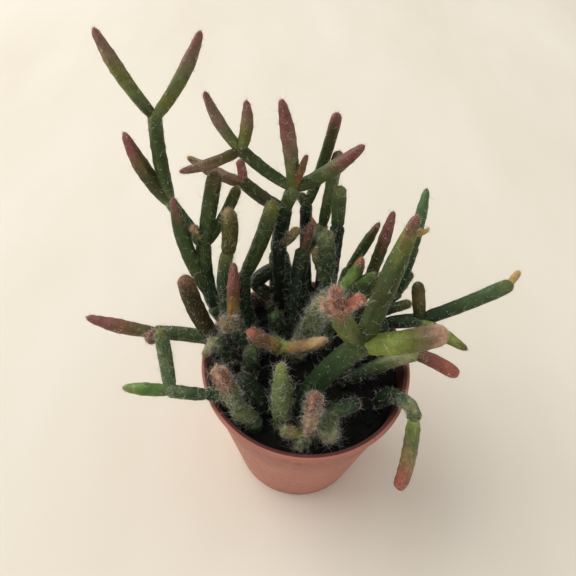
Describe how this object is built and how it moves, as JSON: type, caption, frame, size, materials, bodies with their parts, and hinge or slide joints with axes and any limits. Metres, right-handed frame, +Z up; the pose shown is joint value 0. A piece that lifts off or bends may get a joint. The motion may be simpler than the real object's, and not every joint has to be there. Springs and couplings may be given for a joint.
{
  "type": "potted cactus plant",
  "caption": "Small tapered plastic nursery pot of dark soil with a bushy spineless cactus: finger-like jointed stems that branch, arch over the rim and end in fuzzy tips.",
  "frame": {"origin": "centre of the pot's underside, on the surface that it stands on", "axes": "+Z up through the pot's middle, -Y towards the plant's front, +X to its right"},
  "size_m": [0.1225, 0.08, 0.124],
  "materials": {
    "pot_plastic": "matte terracotta-coloured moulded plastic",
    "potting_soil": "near-black damp peat, rough",
    "stem_green": "deep green waxy skin, purple-pink and fuzzy at the tips",
    "stem_dark": "dark green waxy skin",
    "stem_grey": "grey-green skin, dense with fine white bristles",
    "stem_olive": "olive to yellow-green young skin with pinkish tips",
    "stem_purple": "purple-brown sunlit skin"
  },
  "bodies": {
    "root": {"pot": "pot_plastic", "soil": "potting_soil", "stem_front_left": "stem_olive", "stem_front_dark": "stem_dark", "stem_front_green": "stem_olive", "stem_front_pink": "stem_grey", "stem_front_hoary": "stem_grey", "stem_over_front_rim": "stem_dark", "stem_over_left_rim": "stem_dark", "stem_centre_short": "stem_grey", "stem_left_purple": "stem_purple", "stem_left_fat": "stem_green", "stem_far_left": "stem_green", "stem_centre_yellow": "stem_olive", "stem_near_right": "stem_green", "stem_right_low": "stem_dark", "stem_over_right_rim": "stem_dark", "stem_young": "stem_olive", "stem_middle_hoary": "stem_grey", "stem_bright_pair": "stem_green", "stem_middle_tall": "stem_green", "stem_middle_back": "stem_grey", "stem_middle_black": "stem_dark", "stem_back_pale": "stem_grey", "stem_back_spreading": "stem_green", "stem_back_tall": "stem_dark", "stem_back_dark": "stem_dark", "stem_back_right": "stem_green", "stem_back_slender": "stem_green", "stem_rear_left": "stem_dark", "stem_rear_centre": "stem_dark", "stem_rear_right": "stem_green"}
  },
  "joints": []
}
